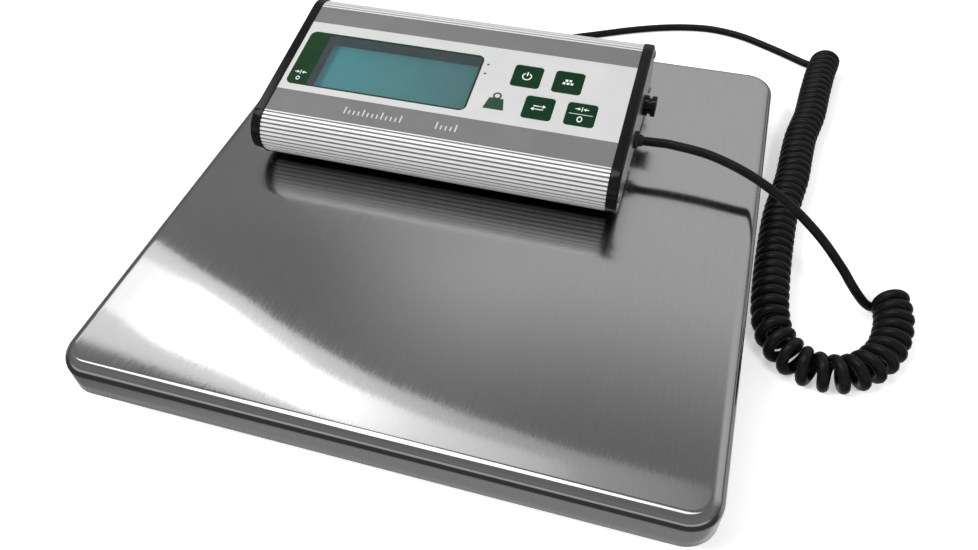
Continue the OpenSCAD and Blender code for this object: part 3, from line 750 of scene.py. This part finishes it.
def feet():
    pads, cups = Shape(), Shape()
    tread = [(0.0, 0.5)]
    for r in (4.0, 7.6, 11.2, 14.8, 18.0):
        tread += [(r - 0.9, 0.5), (r - 0.7, 0.0), (r + 1.3, 0.0), (r + 1.5, 0.5)]
    tread = tread[:-1] + [(19.7, 0.25), (20.5, 1.0), (20.9, 2.2), (21.0, 3.4)]
    tread += [(21.0, 4.7), (20.8, 5.0), (0.0, 5.0)]
    bowl = [
        (0.0, 5.0), (21.8, 5.0), (22.0, 5.3), (22.0, 7.6), (21.7, 8.4), (20.6, 9.6), (18.6, 11.6),
        (16.0, 13.8),
        (12.4, 15.2), (8.2, 16.0), (7.0, 16.8), (6.3, 18.2), (6.0, 20.0), (6.0, 27.0), (0.0, 27.0),
    ]
    for sx in (-1, 1):
        for sy in (-1, 1):
            pads.skin(lathe_rings(tread, z_place(sx * FOOT_X, sy * FOOT_Y, 0.0), 48))
            cups.skin(lathe_rings(bowl, z_place(sx * FOOT_X, sy * FOOT_Y, 0.0), 48))
    pads = pads.build("foot_treads", [paint["rubber"]], "platform", sharp=30)
    cups = cups.build("foot_bowls", [paint["abs"]], "platform", sharp=30)
    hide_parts("foot_pads")
    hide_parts("foot_cups")


# ---- ends of the case ----


def bezels():
    proud, edge_in, edge_out = 0.6, 0.5, 1.5
    ledge, inside = -2.2, -2.6
    for name, x0, x1, node in (
        ("bezel_hoop_left", CASE_LEFT, END_LEFT, "bezel_left"),
        ("bezel_hoop_right", CASE_RIGHT, END_RIGHT, "bezel_right"),
    ):
        way = 1 if x1 > x0 else -1
        profile = [(x0, inside)]
        for a in range(0, 91, 30):
            profile.append((x0 + way * edge_in * (1 - cosd(a)), proud - edge_in * (1 - sind(a))))
        for a in range(90, -1, -15):
            profile.append((x1 - way * edge_out * (1 - cosd(a)), proud - edge_out * (1 - sind(a))))
        profile += [(x1, ledge), (x1 - way * PLATE_T, ledge), (x1 - way * PLATE_T, inside)]
        hoop = (
            Shape()
            .skin([case_ring(x, offset) for x, offset in profile], loop=True)
            .build(name, [paint["gloss"]], "indicator", sharp=40)
        )
        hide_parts(node)


def end_plates():
    out, edge = -2.25, 0.15
    for name, outer, way, node in (
        ("end_cap_left", END_LEFT, -1, "end_plate_left"),
        ("end_cap_right", END_RIGHT, 1, "end_plate_right"),
    ):
        profile = [
            (outer - way * PLATE_T, out), (outer - way * edge, out), (outer, out - edge), (outer, out - 3.0)
        ]
        cap = (
            Shape()
            .skin([case_ring(x, offset) for x, offset in profile])
            .build(name, [paint["plate"]], "indicator", sharp=30)
        )
        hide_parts(node)


def end_screws():
    dome = [
        (0.0, -0.1), (2.4, -0.1), (2.5, 0.05), (2.45, 0.45), (2.1, 0.85), (1.5, 1.1), (0.8, 1.19),
        (0.0, 1.2),
    ]
    head = Shape().skin(lathe_rings(dome, z_place(0, 0, 0), 32)).build("screw_head", [])
    cross = Shape()
    for w, d in ((3.0, 0.62), (0.62, 3.0)):
        cross.prism(rounded_rect(w / 2, d / 2, 0.12, 3), z_place(0, 0, 0), 0.45, 2.0)
    cut(head, cross.build("cross_cutter", []))
    mm_points = [v.co / MM for v in head.data.vertices]
    faces = [tuple(p.vertices) for p in head.data.polygons]
    at = [
        (LIP_C[0] - 9.5, LIP_C[1]),
        (34.0, 48.9),
        (REAR_C[0] + REAR_R - 4.8, 54.0),
        (REAR_C[0] + 9.5 * cosd(45), REAR_C[1] + 9.5 * sind(45)),
    ]
    screws = Shape()
    for k, (y, z) in enumerate(at):
        for side, x, turn in ((1, END_RIGHT, 25 + 37 * k), (-1, END_LEFT, 10 + 53 * k)):
            m = (
                Matrix.Translation((x, y, z))
                @ Matrix.Rotation(math.radians(90 * side), 4, "Y")
                @ Matrix.Rotation(math.radians(turn), 4, "Z")
            )
            screws.add(mm_points, faces, m)
    bpy.data.objects.remove(head)
    screws = screws.build("cross_screws", [paint["zinc"]], "indicator")
    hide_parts("end_screws")


# ---- keys and prints ----

KEY_SIDE, KEY_PROUD = 16.0, 0.3
PRINT_T, PRINT_SUNK = 0.05, 0.02
KEYS = {
    "key_power": (18.5, 53.4),
    "key_count": (41.8, 53.4),
    "key_mode": (30.2, 31.8),
    "key_zero": (53.5, 31.8),
}


def ring_outlines(centre, outer, inner, a0, a1, n=28, squash=1.0):
    """A ring or part of one, as short blocks, because a print is made of simple outlines."""
    out = []
    for i in range(n):
        b0, b1 = (math.radians(a0 + (a1 - a0) * k / n) for k in (i, i + 1))
        corners = ((inner, b0), (outer, b0), (outer, b1), (inner, b1))
        out.append([(centre[0] + squash * r * math.cos(b), centre[1] + r * math.sin(b)) for r, b in corners])
    return out


def bar(x, y, w, h):
    return [(x + sx * w / 2, y + sy * h / 2) for sx, sy in ((-1, -1), (1, -1), (1, 1), (-1, 1))]


def arrow(x, y, way, size):
    """An arrow along x whose tip is at x."""
    head = [(x, y), (x - way * size * 0.55, y + size * 0.42), (x - way * size * 0.55, y - size * 0.42)]
    return [head, bar(x - way * size * 0.85, y, size * 0.6, size * 0.2)]


def to_zero(x, y, size):
    """Two arrows that meet at a bar."""
    arrows = arrow(x - size * 0.28, y, 1, size) + arrow(x + size * 0.28, y, -1, size)
    return arrows + [bar(x, y, size * 0.17, size * 1.25)]


KEY_PRINTS = {
    "key_power": ring_outlines((0, -0.3), 2.75, 2.1, 118, 422) + [bar(0, 1.6, 0.7, 3.0)],
    "key_count": [bar(-2.2 + 2.2 * i, -1.1, 1.5, 1.5) for i in range(3)]
    + [bar(-1.1 + 2.2 * i, 1.1, 1.5, 1.5) for i in range(2)],
    "key_mode": arrow(4.0, 1.0, 1, 3.0)
    + [bar(-0.6, 1.0, 4.6, 0.6)]
    + arrow(-4.0, -1.2, -1, 3.0)
    + [bar(0.6, -1.2, 4.6, 0.6)],
    "key_zero": [bar(0, -0.1, 13.0, 0.3)]
    + to_zero(0, 3.6, 2.6)
    + ring_outlines((0, -3.6), 2.1, 1.35, 0, 360, squash=0.72),
}


def key_caps():
    """Each key: a cushioned top, a flange below it and a stem down to its switch."""
    edge, half = 0.45, KEY_SIDE / 2
    top = [(0.0, -0.55), (0.0, 0.0), (0.05, 0.12), (0.18, 0.22), (edge, 0.285), (edge + 0.5, KEY_PROUD)]
    flange = [(-0.9, -1.6), (-0.9, -0.6)]
    stem_r, stem_low, stem_high = 2, -4.05, -1.6
    for node, (x, up) in KEYS.items():
        shape = Shape()
        for layers in (top, flange):
            rings = []
            for inset, out in layers:
                r = 2.0 - min(max(inset, 0.0), 1.2)
                square = rounded_rect(half - inset, half - inset, r, 8, (x, up))
                rings.append([on_panel(a, b, out) for a, b in square])
            shape.skin(rings)
        turns = [2 * math.pi * i / 20 for i in range(20)]
        circle = [(x + stem_r * math.cos(t), up + stem_r * math.sin(t)) for t in turns]
        shape.skin([[on_panel(a, b, out) for a, b in circle] for out in (stem_low, stem_high)])
        cap = shape.build(node + "_cap", [paint["key"]], node, sharp=40)
        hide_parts(node)
        marks = Shape()
        for outline in KEY_PRINTS[node]:
            placed = [(x + a, up + b) for a, b in outline]
            marks.prism(placed, on_panel, KEY_PROUD - PRINT_SUNK, KEY_PROUD + PRINT_T)
        marks.build(node + "_print", [paint["print"]], node)


def panel_prints():
    """Marks on the frame, the stripe and the light field."""
    border = to_zero(-109.2, 31.0, 2.5) + ring_outlines((-109.2, 26.2), 1.5, 0.95, 0, 360, squash=0.75)
    stripe = []
    for first, count in ((-73.0, 13), (-20.0, 5)):
        for k in range(count):
            tall = 5.0 if k % 4 == 0 else 3.0
            stripe.append(bar(first + 2.7 * k, 6.0 + tall / 2, 0.8, tall))
    field = [[(-5.8, up - 0.9), (-4.0, up), (-5.8, up + 0.9)] for up in (58.0, 51.0)]
    weight = [(0.4, 26.0), (12.0, 26.0), (10.2, 34.2), (2.2, 34.2)]
    field += [weight] + ring_outlines((6.2, 36.0), 2.5, 1.5, 0, 360)
    for outlines, name, key in (
        (border, "border_print", "print"),
        (stripe, "stripe_print", "print_grey"),
        (field, "panel_print", "print_dark"),
    ):
        shape = Shape()
        for outline in outlines:
            shape.prism(outline, on_panel, -PRINT_SUNK, PRINT_T)
        shape.build(name, [paint[key]], "indicator")


cover_shell()
feet()
bezels()
end_plates()
end_screws()
key_caps()
panel_prints()

# ---- stage and light ----


def stage_mesh(name, points, faces, material):
    mesh = bpy.data.meshes.new(name)
    mesh.from_pydata(points, [], faces)
    mesh.materials.append(material)
    obj = bpy.data.objects.new(name, mesh)
    scene.collection.objects.link(obj)
    return obj


FLOOR_HALF = 9.0
floor_paint = shaded(
    "floor_pale", grey(0.90), grey(0.92), (0.75, 0.85), 3.0, 200.0, (0.02, 0.05), specular=0.1
)
floor_shader = floor_paint.node_tree.nodes["Principled BSDF"]
floor_shader.inputs["Emission Color"].default_value = (1, 1, 1, 1)
floor_shader.inputs["Emission Strength"].default_value = 0.45
corners = [(x * FLOOR_HALF, y * FLOOR_HALF, 0) for x, y in ((-1, -1), (1, -1), (1, 1), (-1, 1))]
floor = stage_mesh("floor", corners, [(0, 1, 2, 3)], floor_paint)
floor.visible_glossy = False


def light_card(name, outline, z, stops):
    """A glowing card seen only in reflections; stops give its strength along x."""
    low, high, top = stops[0][0], stops[-1][0], max(v for _, v in stops)
    m = bpy.data.materials.new(name)
    m.use_nodes = True
    tree = m.node_tree
    tree.nodes.clear()
    out, glow, coords, split, span, ramp = (
        tree.nodes.new("ShaderNode" + kind)
        for kind in ("OutputMaterial", "Emission", "TexCoord", "SeparateXYZ", "MapRange", "ValToRGB")
    )
    span.inputs["From Min"].default_value = low
    span.inputs["From Max"].default_value = high
    glow.inputs["Strength"].default_value = top
    set_stops(ramp, [((x - low) / (high - low), grey(v / top)) for x, v in stops])
    tree.links.new(coords.outputs["Object"], split.inputs[0])
    tree.links.new(split.outputs["X"], span.inputs["Value"])
    tree.links.new(span.outputs["Result"], ramp.inputs["Fac"])
    tree.links.new(ramp.outputs["Color"], glow.inputs["Color"])
    tree.links.new(glow.outputs[0], out.inputs["Surface"])
    card = stage_mesh(name, [(x, y, z) for x, y in outline], [tuple(range(len(outline)))], m)
    card.visible_camera = False
    card.visible_shadow = False


# Two outlines of the bright band in the cover. A scratch script worked them out from where its
# edges are seen in the photograph.
FRINGE_TOP = [
    (-1.35, 0.80), (-0.976, 0.683), (-0.81, 0.618), (-0.709, 0.587), (-0.605, 0.540), (-0.52, 0.510),
    (-0.454, 0.492), (-0.389, 0.472), (-0.329, 0.458), (-0.172, 0.434), (0.015, 0.415), (0.26, 0.408),
]
FRINGE_LOW = [(0.26, 0.33), (-0.39, 0.344), (-0.548, 0.355), (-0.743, 0.374), (-0.944, 0.395), (-1.35, 0.44)]
CORE_TOP = [
    (-1.35, 0.70), (-0.957, 0.625), (-0.889, 0.602), (-0.801, 0.584), (-0.718, 0.553), (-0.645, 0.522),
    (-0.569, 0.490), (-0.497, 0.460), (-0.432, 0.442), (-0.374, 0.431), (-0.264, 0.411), (-0.163, 0.399),
    (0.02, 0.388),
]
CORE_LOW = [
    (0.02, 0.345), (-0.311, 0.352), (-0.478, 0.366), (-0.636, 0.396), (-0.811, 0.424), (-0.867, 0.445),
    (-0.938, 0.476), (-1.35, 0.57),
]
FRINGE_GLOW = [(-1.35, 1.12), (-0.6, 1.12), (-0.4, 0.95), (-0.1, 0.62), (0.26, 0.34)]
CORE_GLOW = [(-1.35, 1.4), (-0.95, 1.6), (-0.8, 2.2), (-0.45, 2.2), (-0.25, 1.25), (0.02, 0.7)]
light_card("card_fringe", FRINGE_TOP + FRINGE_LOW, 1.0, FRINGE_GLOW)
light_card("card_core", CORE_TOP + CORE_LOW, 0.999, CORE_GLOW)
TOP_CARD = [
    (-1.35, 0.07), (-1.1, -0.05), (-0.41, -0.36), (0.28, -0.12), (0.5, 0.02), (0.5, 0.12), (0.28, 0.2),
    (-0.41, 0.40), (-1.1, 0.17), (-1.35, 0.12),
]
light_card("card_top", TOP_CARD, 1.3, [(-1.35, 2.4), (0.0, 2.4), (0.5, 1.4)])


def area_light(name, place, aim, size, power):
    data = bpy.data.lights.new(name, "AREA")
    data.shape = "RECTANGLE"
    data.size, data.size_y = size
    data.energy = power
    lamp = bpy.data.objects.new(name, data)
    lamp.location = place
    lamp.rotation_euler = (Vector(aim) - Vector(place)).to_track_quat("-Z", "Y").to_euler()
    lamp.visible_glossy = False
    scene.collection.objects.link(lamp)


area_light("key_light", (-0.9, -0.9, 1.5), (0, 0, 0), (0.6, 0.3), 21.0)
area_light("fill_light", (0.75, -0.85, 1.35), (0, 0, 0), (0.5, 0.25), 8.0)


def sky():
    """A dim room with a wide soft glow behind the scale and to its right, and fills for the sides."""
    world = bpy.data.worlds.new("studio")
    scene.world = world
    world.use_nodes = True
    tree = world.node_tree
    tree.nodes.clear()

    def node(kind, **values):
        n = tree.nodes.new("ShaderNode" + kind)
        for k, v in values.items():
            setattr(n, k, v)
        return n

    def soft_step(value, start, end):
        n = node("MapRange", interpolation_type="SMOOTHSTEP")
        n.inputs["From Min"].default_value = start
        n.inputs["From Max"].default_value = end
        tree.links.new(value, n.inputs["Value"])
        return n.outputs["Result"]

    def product(a, b):
        n = node("Math", operation="MULTIPLY")
        for i, v in enumerate((a, b)):
            if isinstance(v, float):
                n.inputs[i].default_value = v
            else:
                tree.links.new(v, n.inputs[i])
        return n.outputs[0]

    def total(a, b):
        n = node("Math", operation="ADD")
        tree.links.new(a, n.inputs[0])
        tree.links.new(b, n.inputs[1])
        return n.outputs[0]

    out, back, coords, split = (node(k) for k in ("OutputWorld", "Background", "TexCoord", "SeparateXYZ"))
    tree.links.new(coords.outputs["Generated"], split.inputs[0])
    y, z = split.outputs["Y"], split.outputs["Z"]
    turn = node("VectorMath", operation="DOT_PRODUCT")
    turn.inputs[1].default_value = (0.90, 0.44, 0.0)
    tree.links.new(coords.outputs["Generated"], turn.inputs[0])
    glow = product(soft_step(turn.outputs["Value"], -0.13, 0.10), soft_step(y, 0.15, 0.5))
    glow = product(glow, soft_step(z, 0.87, 0.72))
    glow = product(glow, soft_step(z, 0.02, 0.25))
    front = product(soft_step(y, -0.2, -0.6), soft_step(z, 0.40, 0.2))
    front = product(front, soft_step(z, -0.02, 0.12))
    under = product(soft_step(y, -0.1, 0.3), soft_step(z, 0.02, -0.1))
    lit = total(product(glow, 0.36), product(under, 0.30))
    lit = total(lit, product(front, 0.42))
    height = node("MapRange")
    height.inputs["From Min"].default_value = -1.0
    tree.links.new(z, height.inputs["Value"])
    ramp = node("ValToRGB")
    stops = [(0.0, 0.30), (0.1, 0.30), (0.2, 0.05), (0.5, 0.06), (0.62, 0.16), (0.8, 0.24), (0.92, 0.20)]
    set_stops(ramp, [(at, grey(v)) for at, v in stops])
    tree.links.new(height.outputs["Result"], ramp.inputs["Fac"])
    tree.links.new(total(lit, ramp.outputs["Color"]), back.inputs["Color"])
    tree.links.new(back.outputs[0], out.inputs["Surface"])


sky()
